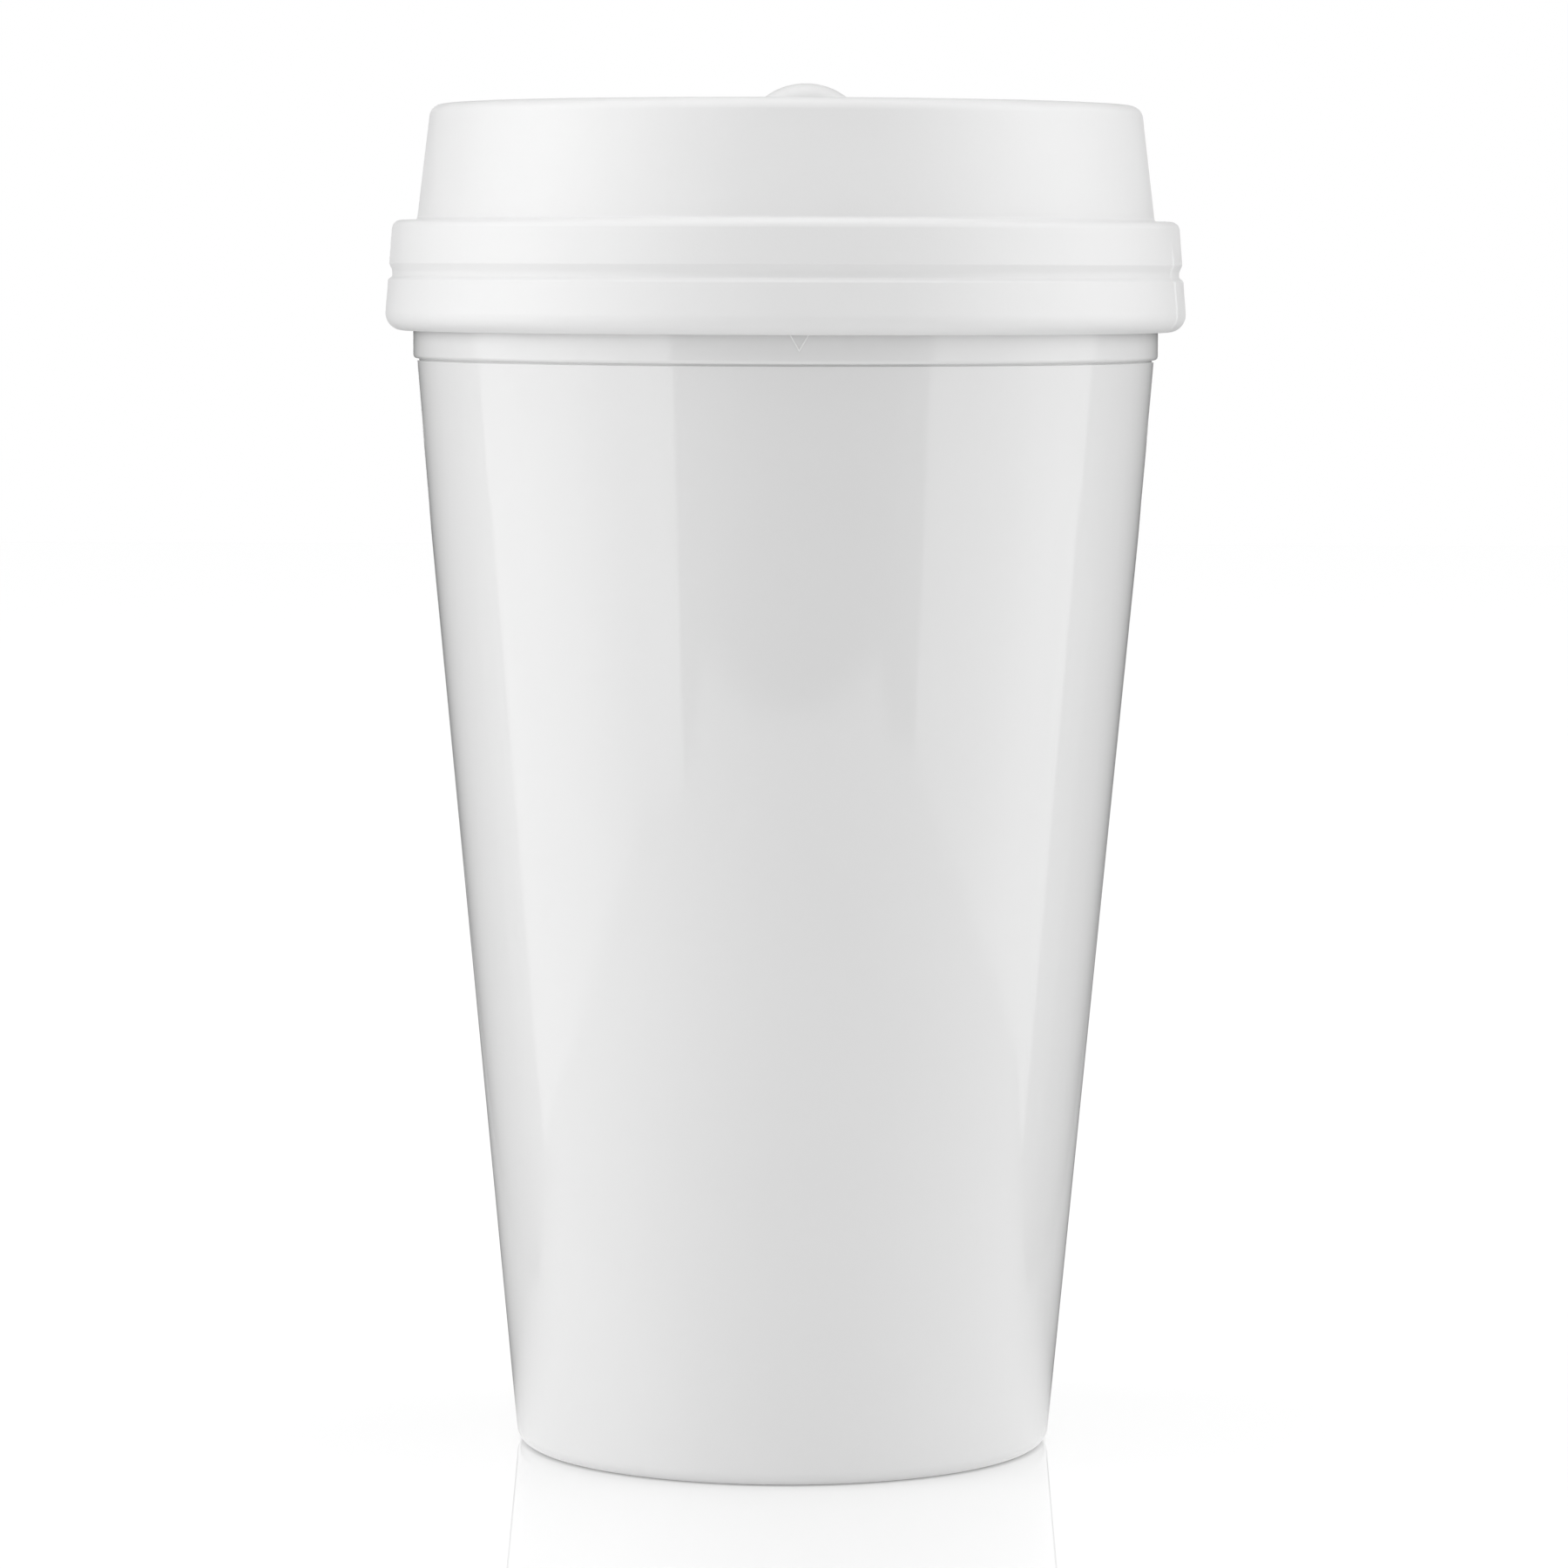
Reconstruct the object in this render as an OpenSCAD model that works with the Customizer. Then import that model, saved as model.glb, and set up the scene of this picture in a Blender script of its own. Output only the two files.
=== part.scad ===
// Double-wall travel tumbler with a press-on lid and a sliding drink closure.
// Millimetres, +Z up. The origin is the centre of the foot, on the surface the cup stands on.
// The drinking side of the cup faces -Y.

/* [Outer shell] */
// Width across the foot, measured to the sharp corner below the fillet
base_d = 61.8; // [54:0.1:70]
// Lean of the side wall from the vertical, in degrees
shell_taper = 5.4; // [3:0.1:7]
// Height of the shell's rim
shell_h = 125.2; // [100:0.1:140]
// Length below the rim over which the wall straightens up a little
ease_l = 25; // [10:1:50]
// Radius of that slow curve, seen in section
ease_r = 1000; // [700:50:2000]
// Thickness of the shell's side wall
shell_wall = 1.8; // [1.2:0.1:2.5]
// Thickness of the shell's floor
shell_floor = 1.8; // [1.2:0.1:3]
// Fillet round the foot
foot_fillet = 1.7; // [0.8:0.1:3]
// Fillet inside, between the shell's wall and floor
floor_fillet = 2; // [0.5:0.1:4]
// Rounding of the shell's upper edge
shell_edge = 0.3; // [0.1:0.05:0.5]
// Width of the ring that the cup stands on
foot_ring_w = 3; // [2:0.1:6]
// Depth of the hollow inside that ring
foot_hollow = 1.2; // [0.5:0.1:3]

/* [Inner liner] */
// Thickness of the liner's wall and floor
liner_wall = 1.8; // [1.2:0.1:2.5]
// Air between the two side walls
air_gap = 2.4; // [1.5:0.1:4]
// Air between the two floors
floor_gap = 2; // [1:0.1:5]
// Fillet round the outside of the liner's floor
liner_fillet = 3; // [1:0.1:6]
// Amount that the collar stands out past the shell's rim
collar_over = 0.44; // [0.2:0.02:1]
// Rounding of the collar's lower edge
collar_edge = 0.45; // [0.2:0.05:0.8]
// Open shadow line between the collar and the shell's outer edge
seam_gap = 0.3; // [0.2:0.05:0.6]
// Amount that the neck stands back from the collar
neck_step = 0.46; // [0.2:0.02:0.8]
// Thickness of the neck
neck_wall = 1.8; // [1.4:0.1:2.4]
// Height of the neck's rim above the collar's underside
neck_h = 14; // [12:0.1:18]
// Rounding of the neck's rim
rim_edge = 0.6; // [0.2:0.05:0.8]
// Height of the cone that joins the liner's wall to the collar
shoulder_h = 4.5; // [3:0.1:8]
// Height of the land that centres the liner in the shell
land_h = 1.2; // [0.8:0.1:2.5]
// Clearance of that land in the shell
land_clear = 0.12; // [0.05:0.01:0.2]

/* [Alignment mark] */
// Height of the mark's tip above the collar's lower edge
mark_tip = 1.5; // [0.6:0.1:2]
// Length of the mark that is hidden under the lid
mark_lap = 0.8; // [0.2:0.1:1]
// Angle between the two strokes of the V-shaped mark
mark_angle = 60; // [40:1:90]
// Width of a stroke
mark_w = 0.2; // [0.15:0.01:0.4]
// Height of a stroke above the collar
mark_proud = 0.12; // [0.05:0.01:0.15]
// Place of the mark round the cup, in degrees from the front
mark_turn = 2; // [-30:0.5:30]

/* [Lid band] */
// Height of the whole band
band_h = 12.8; // [11.5:0.1:14]
// Thickness of the band's skirt at its foot
band_wall = 2.84; // [2:0.02:4]
// Draft of the band's face, as radius lost on each millimetre of height
band_draft = 0.08; // [0:0.01:0.12]
// Rounding of the band's lower edge
band_foot = 2; // [0.5:0.1:2.5]
// Rounding of the band's upper edge
band_brow = 0.8; // [0.3:0.1:1.5]
// Distance from the top of the band to the middle of its groove
groove_drop = 6; // [5:0.1:7]
// Height of the groove
groove_h = 1.7; // [1:0.1:2.2]
// Depth of the groove below its upper edge
groove_deep = 0.35; // [0.2:0.05:0.8]
// Rounding of the groove and of the band's small edges
band_edge = 0.4; // [0.1:0.05:0.6]
// Clearance of the skirt round the collar
skirt_clear = 0.3; // [0.25:0.01:0.4]
// Length of the skirt that covers the collar
skirt_lap = 1.3; // [1:0.1:2]
// Thickness of the web over the neck's rim
web_t = 2.1; // [1.5:0.1:3]

/* [Lid dome] */
// Width of the ledge between the band's upper edge and the dome
ledge_w = 2.78; // [1.5:0.01:4]
// Height of the dome above the band
dome_h = 13; // [10:0.1:18]
// Lean of the dome's side from the vertical, in degrees
dome_lean = 7; // [3:0.5:12]
// Thickness of the dome's side
dome_wall = 2; // [1.4:0.1:2.4]
// Thickness of the round lip
lip_t = 3; // [2.4:0.1:4]
// Depth of the deck below the lip
deck_drop = 4.5; // [3:0.1:6]
// Thickness of the deck
deck_t = 2.2; // [1.8:0.1:3]
// Fillet between deck and lip
deck_fillet = 1; // [0.3:0.1:1.2]
// Fillet under the deck, where it meets the dome
dome_fillet = 1.5; // [0.5:0.1:3]
// Turn of the lid on the cup as it stands, in degrees
lid_turn = 5.3; // [-30:0.1:30]

/* [Lid plug and seal] */
// Length of the plug below the neck's rim
plug_l = 7.5; // [6:0.1:9]
// Room in the neck below the plug
plug_room = 2; // [1:0.1:3]
// Thickness of the plug
plug_wall = 1.9; // [1.6:0.1:2.5]
// Clearance between plug and neck
plug_clear = 0.45; // [0.3:0.01:0.6]
// Rounding of the plug's lower end and of the corners inside the lid
plug_edge = 0.6; // [0.2:0.1:0.9]
// Height of the seal's groove
seal_h = 2.8; // [2:0.1:3.2]
// Depth of the seal's groove in the plug
seal_groove = 1.1; // [0.8:0.05:1.2]
// Distance from the plug's lower end to the seal's groove
seal_rise = 1.8; // [1.2:0.1:2.5]
// Depth of the hollow between the seal's two lips
seal_waist = 0.5; // [0.2:0.05:0.8]
// Rounding of the seal's edges
seal_edge = 0.3; // [0.1:0.05:0.4]
// Clearance all round the seal
seal_clear = 0.06; // [0.02:0.01:0.1]

/* [Drink opening] */
// Width of the drink opening across the sliding direction
drink_w = 11; // [8:0.5:14]
// Length of the drink opening along the sliding direction
drink_l = 6.4; // [5:0.1:8]
// Deck left between the end of the slider's track and the lip
track_edge = 1.2; // [1:0.1:5]
// Diameter of the air hole on the far side of the deck
vent_d = 2; // [1:0.1:3]
// Distance of the air hole from the lip
vent_edge = 8.9; // [4:0.1:20]

/* [Closure slider] */
// Length of the plate
plate_l = 36; // [32:0.5:38]
// Thickness of the plate
plate_t = 1.7; // [1.4:0.1:2.5]
// Corner radius of the plate
plate_corner = 4; // [2:0.1:6]
// Depth of the track that the plate runs in
track_deep = 0.8; // [0.4:0.1:1.2]
// Clearance of the plate and the snap legs in their track
plate_clear = 0.3; // [0.25:0.05:0.6]
// Amount of plate beyond the drink opening, in front and behind
cover = 1.4; // [1:0.1:2]
// Amount of plate beyond the drink opening, on each side
side_cover = 2; // [1:0.1:4]
// Amount of closed plate behind the slot for the snap legs
rear_cover = 0.5; // [0.3:0.1:3]
// Radius of the round thumb knob
knob_r = 7.6; // [6:0.1:9]
// Thickness of the knob along the sliding direction
knob_t = 5; // [3:0.1:7]
// Rounding of the knob's edges
knob_edge = 1.5; // [0.4:0.1:2]
// Height of the knob's crown above the lip
knob_rise = 1.9; // [0.5:0.1:4]
// Distance from the front of the plate to the knob
knob_set = 1.1; // [0.5:0.1:5]
// Length of the snap legs along the sliding direction
leg_l = 6; // [4:0.1:8]
// Width across the two snap legs
legs_w = 5; // [4:0.1:7]
// Gap between the two snap legs
leg_gap = 1.6; // [1:0.1:2.4]
// Corner radius of the slot that the legs run in
slot_corner = 1; // [0.3:0.1:2]
// Reach of each snap leg's hook under the deck
hook = 0.9; // [0.5:0.1:1.4]
// Height of the hooks
hook_h = 1.4; // [0.8:0.1:2]
// Gap between the hooks and the deck
hook_clear = 0.2; // [0.1:0.05:0.4]

/* [Hidden] */
$fn = 96;
// Largest turn between two points of a rounded corner, in degrees
arc_step = 12;
// Part of an edge that the roundings at its two ends may use up
edge_share = 0.96;
// Amount that a cut reaches past the face it opens
past = 1;

// Radius of the shell's outside at height z
ease_z = shell_h - ease_l;
function shell_r(z) =
    base_d / 2 + z * tan(shell_taper) - pow(max(0, z - ease_z), 2) / (2 * ease_r);

// Heights
floor_z = foot_hollow + shell_floor;
seam_z = shell_h + seam_gap;
rim_z = seam_z + neck_h;
band_top = rim_z + web_t;
band_bottom = band_top - band_h;
collar_top = band_bottom + skirt_lap;
groove_z = band_top - groove_drop;
lip_z = band_top + dome_h;
deck_z = lip_z - deck_drop;
deck_under = deck_z - deck_t;
track_z = deck_z - track_deep;
plug_z = rim_z - plug_l;
seal_z = plug_z + seal_rise;

// Radii
collar_r = shell_r(shell_h) + collar_over;
neck_r = collar_r - neck_step;
neck_in = neck_r - neck_wall;
skirt_r = collar_r + skirt_clear;
band_r = skirt_r + band_wall;
groove_low = groove_z - groove_h / 2;
groove_high = groove_z + groove_h / 2;
dome_r = face_r(band_top) - ledge_w;
lip_r = dome_r - (dome_h - lip_t / 2) * tan(dome_lean);
deck_r = lip_r - lip_t;
plug_r = neck_in - plug_clear;
plug_in = plug_r - plug_wall;

// Sliding closure, measured from the axis towards the drinking side
plate_w = drink_w + 2 * side_cover;
drink_out = deck_r - track_edge - plate_clear - cover;
drink_in = drink_out - drink_l;
travel = drink_l + 2 * cover;
plate_front = drink_in - cover;
plate_rear = plate_front - plate_l;
slot_rear = plate_rear + travel + rear_cover;
leg_y = slot_rear + plate_clear + leg_l / 2;
knob_y = plate_front - knob_set - knob_t / 2;

// Points along a wall that lies inset from the shell's outside, from height a to b
function wall(inset, a, b, n = 8) =
    [for (i = [0:n]) let (z = a + (b - a) * i / n) [shell_r(z) - inset, z, 0]];

// Radius of the band's face at height z
function face_r(z) = band_r - (z - band_bottom - band_foot) * band_draft;

function unit(v) = v / norm(v);

// Length of an edge that the rounding b may use when its neighbour is the rounding a
function room(edge, a, b) = edge_share * norm(edge) * b / max(a + b, b);

// One corner [x, y, radius] of an outline, as the points of its arc
function corner(a, b, c) =
    let (
        p = [b[0], b[1]],
        to_a = [a[0], a[1]] - p,
        to_c = [c[0], c[1]] - p,
        u = unit(to_a),
        v = unit(to_c),
        half = acos(max(-1, min(1, u * v))) / 2
    )
    b[2] == 0 ? [p] :
    let (
        free = min(room(to_a, a[2], b[2]), room(to_c, c[2], b[2])),
        r = min(b[2], free * tan(half)),
        mid = p + unit(u + v) * r / sin(half),
        from = p + u * r / tan(half) - mid,
        to = p + v * r / tan(half) - mid,
        a0 = atan2(from[1], from[0]),
        turn = atan2(to[1], to[0]) - a0,
        sweep = turn > 180 ? turn - 360 : turn < -180 ? turn + 360 : turn,
        n = ceil(abs(sweep) / arc_step)
    )
    [for (i = [0:n]) mid + r * [cos(a0 + sweep * i / n), sin(a0 + sweep * i / n)]];

// An outline of [x, y, radius] corners, with every corner rounded
function rounded(pts) =
    let (n = len(pts))
    [for (i = [0:n - 1]) each corner(pts[(i + n - 1) % n], pts[i], pts[(i + 1) % n])];

// A body of revolution from an outline of [radius, height, corner radius]
module turned(pts) rotate_extrude($fn = 180) polygon(rounded(pts));

// A plate seen from above, w wide, from y = 0 to y = l, with corner radius r
module slab(w, l, r)
    polygon(rounded([[-w / 2, 0, r], [w / 2, 0, r], [w / 2, l, r], [-w / 2, l, r]]));

module outer_shell() {
    top_r = shell_r(shell_h);
    step_r = top_r - shell_wall / 2;
    ring_out = shell_r(0) - foot_fillet;
    ring_in = ring_out - foot_ring_w;
    color("white") turned(concat(
        [[0, foot_hollow, 0], [ring_in, foot_hollow, shell_edge]],
        [[ring_in + foot_hollow / 2, 0, shell_edge], [shell_r(0), 0, foot_fillet]],
        wall(0, ease_z, shell_h - 2 * shell_edge),
        [[top_r, shell_h, shell_edge], [step_r, shell_h, 0], [step_r, seam_z, 0]],
        [[top_r - shell_wall, seam_z, 0]],
        wall(shell_wall, shell_h, ease_z),
        [[shell_r(floor_z) - shell_wall, floor_z, floor_fillet], [0, floor_z, 0]]
    ));
}

module inner_liner() {
    outside = shell_wall + air_gap;
    inside = outside + liner_wall;
    under_z = floor_z + floor_gap;
    bottom_z = under_z + liner_wall;
    land_z = seam_z - land_h;
    land_r = shell_r(land_z) - shell_wall - land_clear;
    shoulder_z = land_z - shoulder_h;
    color("white") union() {
        turned(concat(
            [[0, under_z, 0], [shell_r(under_z) - outside, under_z, liner_fillet]],
            wall(outside, ease_z, shoulder_z),
            [[land_r, land_z, 0], [land_r, seam_z, 0], [collar_r, seam_z, collar_edge]],
            [[collar_r, collar_top - neck_step, 0], [neck_r, collar_top, 0]],
            [[neck_r, rim_z, rim_edge], [neck_in, rim_z, rim_edge]],
            [[neck_in, plug_z - plug_room, plug_room]],
            wall(inside, shoulder_z + liner_wall / 2, ease_z),
            [[shell_r(bottom_z) - inside, bottom_z, liner_fillet + liner_wall / 2]],
            [[0, bottom_z, 0]]
        ));
        rotate([0, 0, mark_turn]) alignment_mark();
    }
}

// Two raised strokes that meet in a point, wrapped on the collar
module alignment_mark() {
    tip_z = seam_z + mark_tip;
    high = band_bottom + mark_lap - tip_z;
    wide = high * tan(mark_angle / 2);
    stroke = mark_w / cos(mark_angle / 2);
    intersection() {
        rotate_extrude($fn = 180)
            translate([neck_in, seam_z + collar_edge])
            square([collar_r + mark_proud - neck_in, neck_h - rim_edge]);
        translate([0, 0, tip_z]) rotate([90, 0, 0]) linear_extrude(band_r)
            polygon([
                [0, 0], [wide, high], [wide - stroke, high],
                [0, stroke / tan(mark_angle / 2)], [stroke - wide, high], [-wide, high]
            ]);
    }
}

module lid_seal() {
    r_in = plug_r - seal_groove + seal_clear;
    r_out = neck_in - seal_clear;
    low = seal_z + seal_clear;
    high = seal_z + seal_h - seal_clear;
    lip = seal_h / 4;
    color("gainsboro") turned([
        [r_in, low, seal_edge], [r_out, low, seal_edge], [r_out, low + lip, seal_edge],
        [r_out - seal_waist, (low + high) / 2, seal_edge],
        [r_out, high - lip, seal_edge], [r_out, high, seal_edge], [r_in, high, seal_edge]
    ]);
}

module lid_body() {
    lean = tan(dome_lean);
    groove_r = face_r(groove_high) - groove_deep;
    groove_mid = groove_high - 2 * groove_deep;
    hollow_z = band_top + dome_wall / 2;
    hollow_r = dome_r - dome_wall;
    hollow_top = hollow_r - (deck_under - hollow_z) * lean;
    color("whitesmoke") rotate([0, 0, lid_turn]) difference() {
        turned([
            [0, deck_z, 0], [deck_r, deck_z, deck_fillet],
            [deck_r, lip_z, lip_t / 2], [lip_r - lean * lip_t / 2, lip_z, lip_t / 2],
            [dome_r, band_top, band_edge], [face_r(band_top), band_top, band_brow],
            [face_r(groove_high), groove_high, band_edge], [groove_r, groove_mid, band_edge],
            [groove_r, groove_low, band_edge], [face_r(groove_low), groove_low, band_edge],
            [face_r(band_bottom), band_bottom, band_foot], [skirt_r, band_bottom, band_edge],
            [skirt_r, rim_z, 0], [plug_r, rim_z, 0],
            [plug_r, seal_z + seal_h, 0], [plug_r - seal_groove, seal_z + seal_h, 0],
            [plug_r - seal_groove, seal_z, 0], [plug_r, seal_z, 0],
            [plug_r, plug_z, plug_edge], [plug_in, plug_z, plug_edge],
            [plug_in, rim_z, plug_edge], [hollow_r, hollow_z, plug_edge],
            [hollow_top, deck_under, dome_fillet], [0, deck_under, 0]
        ]);
        drink_opening();
        track();
        translate([0, deck_r - vent_edge, deck_under - past])
            cylinder(d = vent_d, h = deck_t + 2 * past);
    }
}

// Round-ended hole near the lip, on the drinking side
module drink_opening() {
    end_r = drink_l / 2;
    for (side = [-1, 1])
        translate([side * (drink_w / 2 - end_r), end_r - drink_out, deck_under - past])
            cylinder(r = end_r, h = deck_t + 2 * past);
    translate([end_r - drink_w / 2, -drink_out, deck_under - past])
        cube([drink_w - 2 * end_r, drink_l, deck_t + 2 * past]);
}

// Shallow track that the plate runs in, with the slot for the snap legs in its floor
module track() {
    front = plate_front + travel + plate_clear;
    rear = plate_rear - plate_clear;
    slot_front = leg_y + leg_l / 2 + travel + plate_clear;
    translate([0, -front, track_z]) linear_extrude(track_deep + past)
        slab(plate_w + 2 * plate_clear, front - rear, plate_corner + plate_clear);
    translate([0, -slot_front, deck_under - past]) linear_extrude(deck_t + past)
        slab(legs_w + 2 * plate_clear, slot_front - slot_rear, slot_corner);
}

module closure_slider() {
    color("white") rotate([0, 0, lid_turn]) union() {
        translate([0, -plate_front, track_z]) linear_extrude(plate_t)
            slab(plate_w, plate_l, plate_corner);
        thumb_knob();
        for (side = [0, 1]) mirror([side, 0, 0]) snap_leg();
    }
}

// Round upright knob: a thick disc with soft edges, cut off inside the plate
module thumb_knob() {
    crown_z = lip_z + knob_rise;
    intersection() {
        translate([0, -knob_y, crown_z - knob_r]) rotate([90, 0, 0])
            rotate_extrude() polygon(rounded([
                [0, -knob_t / 2, 0], [knob_r, -knob_t / 2, knob_edge],
                [knob_r, knob_t / 2, knob_edge], [0, knob_t / 2, 0]
            ]));
        translate([-knob_r - past, -knob_y - knob_t, track_z + plate_t / 2])
            cube([2 * (knob_r + past), 2 * knob_t, 2 * knob_r]);
    }
}

// One springy leg through the slot, with a hook under the deck
module snap_leg() {
    root_z = track_z + plate_t / 2;
    hook_top = deck_under - hook_clear;
    hook_low = hook_top - hook_h;
    translate([0, leg_l / 2 - leg_y, 0]) rotate([90, 0, 0]) linear_extrude(leg_l)
        polygon([
            [leg_gap / 2, root_z], [legs_w / 2, root_z], [legs_w / 2, hook_top],
            [legs_w / 2 + hook, hook_top], [legs_w / 2, hook_low], [leg_gap / 2, hook_low]
        ]);
}

outer_shell();
inner_liner();
lid_seal();
lid_body();
closure_slider();
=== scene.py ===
"""Looks for a double-wall travel tumbler: skins, materials, studio and camera.

Each of the five pieces gets a skin with exact surface normals, where its solid is. The
pieces' sizes are in millimetres, and the studio's and the camera's in metres.
"""

import math

import bpy
from mathutils import Matrix, Vector
from mathutils.geometry import delaunay_2d_cdt


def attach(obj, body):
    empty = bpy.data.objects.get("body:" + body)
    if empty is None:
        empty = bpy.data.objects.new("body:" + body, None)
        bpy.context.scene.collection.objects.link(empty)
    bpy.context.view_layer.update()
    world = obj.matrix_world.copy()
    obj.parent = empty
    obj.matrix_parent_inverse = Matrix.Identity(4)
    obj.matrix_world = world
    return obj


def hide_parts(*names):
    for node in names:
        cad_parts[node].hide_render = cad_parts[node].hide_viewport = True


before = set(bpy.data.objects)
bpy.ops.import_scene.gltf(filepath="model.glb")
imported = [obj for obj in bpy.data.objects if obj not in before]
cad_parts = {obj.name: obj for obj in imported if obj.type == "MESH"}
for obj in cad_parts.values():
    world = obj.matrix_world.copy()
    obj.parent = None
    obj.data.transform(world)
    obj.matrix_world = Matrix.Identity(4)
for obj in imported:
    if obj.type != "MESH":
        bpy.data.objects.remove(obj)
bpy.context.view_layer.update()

MM = 0.001
RAD = math.pi / 180

# Shell
BASE_D = 61.55  # across the foot, to the corner below its fillet; the solid has 61.8
TAPER = 5.4  # lean of the side wall in degrees
SHELL_H = 125.2  # height of the shell's rim
EASE_L = 25.0  # length below the rim over which the wall straightens up a little
EASE_R = 1250.0  # radius of that slow curve; the solid has 1000
SHELL_WALL = 1.8
SHELL_FLOOR = 1.8
FOOT_FILLET = 1.7
FLOOR_FILLET = 2.0  # inside, between wall and floor
SHELL_EDGE = 0.3  # rounding of the foot ring's edges
FOOT_RING_W = 3.0  # width of the ring that the cup stands on
FOOT_HOLLOW = 1.2  # depth of the hollow inside that ring

# Liner
LINER_WALL = 1.8
AIR_GAP = 2.4  # air between the side walls
FLOOR_GAP = 2.0  # air between the floors
LINER_FILLET = 3.0
COLLAR_OVER = 0.48  # overhang of the collar past the shell's rim; the solid has 0.44
COLLAR_EDGE = 0.45  # rounding of the collar's lower edge
NECK_STEP = 0.46  # step back from the collar to the neck
NECK_WALL = 1.8
NECK_H = 14.0  # height of the neck's rim above the collar's underside
RIM_EDGE = 0.6
SHOULDER_H = 4.5  # height of the cone that joins the wall to the collar
LAND_H = 1.2  # height of the land that centres the liner in the shell
LAND_CLEAR = 0.12

# Dark line between shell and collar, finer and shallower than the solids' gap
SEAM_GAP = 0.3  # the solids' gap
SEAM_BELOW = 0.20  # height of the shell's edge above the solid's
SEAM_ABOVE = 0.12  # height of the collar's edge above the solid's
SEAM_DEEP = 0.20
SEAM_SOFT = 0.05  # rounding of the shell's edge

# Alignment mark
MARK_TIP = 1.42  # from the solid collar's lower edge to the tip; the solid has 1.5
MARK_LAP = 0.8  # length under the lid
MARK_ANGLE = 60.0
MARK_W = 0.2
MARK_PROUD = 0.12
MARK_TURN = 2.0  # degrees round from the front
MARK_STEEP = 35.0  # slope of a stroke's sides in degrees
MARK_SUNK = 0.1  # share of a stroke's height by which its edges sink in the collar

# Lid band
BAND_H = 12.8
BAND_WALL = 2.84
BAND_DRAFT = 0.08  # radius lost on each millimetre of height
BAND_FOOT = 2.0  # rounding of the lower edge
BAND_EDGE = 0.4  # rounding of the small edges
BROW_LEAN = 0.16  # extra radius lost between the witness line and the ledge
BROW_SOFT = 1.1  # rounding of the upper edge
BROW_DROP = 0.2  # drop of the ledge below the solid's
GROOVE_DROP = 6.0  # from the band's top to the groove's middle
GROOVE_H = 1.7
GROOVE_DEEP = 0.35
GROOVE_BROW = 0.3  # rounding of the groove's upper edge
GROOVE_SOFT = 0.12  # how much lower its lower edge stands than the solid's
GROOVE_HOLLOW = 1.0  # rounding inside it, at the top
SKIRT_CLEAR = 0.3  # clearance round the collar
SKIRT_LAP = 1.3  # length that covers the collar
WEB_T = 2.1  # thickness over the neck's rim
WITNESS_Z = 140.5  # height of the line at which the face's lean changes
WITNESS_EDGE = 0.15

# Fine raised lines that the halves of the mould leave on the band
PARTING = (69.2, 249.2)  # degrees round the lid
PARTING_H = 0.13
PARTING_W = 0.30
PARTING_STEPS = 10  # columns of the mesh on each side of a line
PARTING_FADE = 0.2  # height over which a line fades out below the witness line

# Lid dome
LEDGE_W = 2.78  # width of the ledge between band and dome
DOME_H = 13.0
DOME_LEAN = 7.0
DOME_WALL = 2.0
LIP_T = 3.0
DECK_DROP = 4.5
DECK_T = 2.2
DECK_FILLET = 0.7  # between deck and lip; the solid has 1.0
DOME_FILLET = 1.5
LID_TURN = 5.3  # turn of the lid on the cup in degrees

# Lid plug and seal
PLUG_L = 7.5
PLUG_ROOM = 2.0  # room in the neck below the plug
PLUG_WALL = 1.9
PLUG_CLEAR = 0.45
PLUG_EDGE = 0.6
SEAL_H = 2.8
SEAL_GROOVE = 1.1
SEAL_RISE = 1.8  # from the plug's lower end to the seal's groove
SEAL_WAIST = 0.5  # depth of the hollow between the seal's lips
SEAL_EDGE = 0.3
SEAL_CLEAR = 0.06

# Openings of the deck
DRINK_W = 11.0
DRINK_L = 6.4
TRACK_EDGE = 1.2  # deck left between track and lip
TRACK_DEEP = 0.8
VENT_D = 2.0
VENT_EDGE = 8.9  # from the air hole to the lip
SLOT_CORNER = 1.0
HOLE_EDGE = 0.25  # rounding of the edges that show
SMALL_EDGE = 0.15  # rounding of the others

# Closure
PLATE_L = 36.0
PLATE_T = 1.7
PLATE_CORNER = 4.0
PLATE_EDGE = 0.35
PLATE_CLEAR = 0.3
COVER = 1.4  # plate beyond the drink opening, in front and behind
SIDE_COVER = 2.0
REAR_COVER = 0.5  # closed plate behind the slot
KNOB_R = 7.6
KNOB_T = 5.0
KNOB_SOFT = 2.4  # rounding of the knob's edges; the solid has 1.5
KNOB_RISE = 1.9  # height of the knob's crown above the lip
KNOB_SET = 1.1  # from the front of the plate to the knob
LEG_L = 6.0
LEGS_W = 5.0  # across both legs
LEG_GAP = 1.6
LEG_EDGE = 0.12
HOOK = 0.9
HOOK_H = 1.4
HOOK_CLEAR = 0.2

EASE_Z = SHELL_H - EASE_L


def shell_r(z):
    """Radius of the shell's outside at height z."""
    return BASE_D / 2 + z * math.tan(TAPER * RAD) - max(0.0, z - EASE_Z) ** 2 / (2 * EASE_R)


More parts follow.
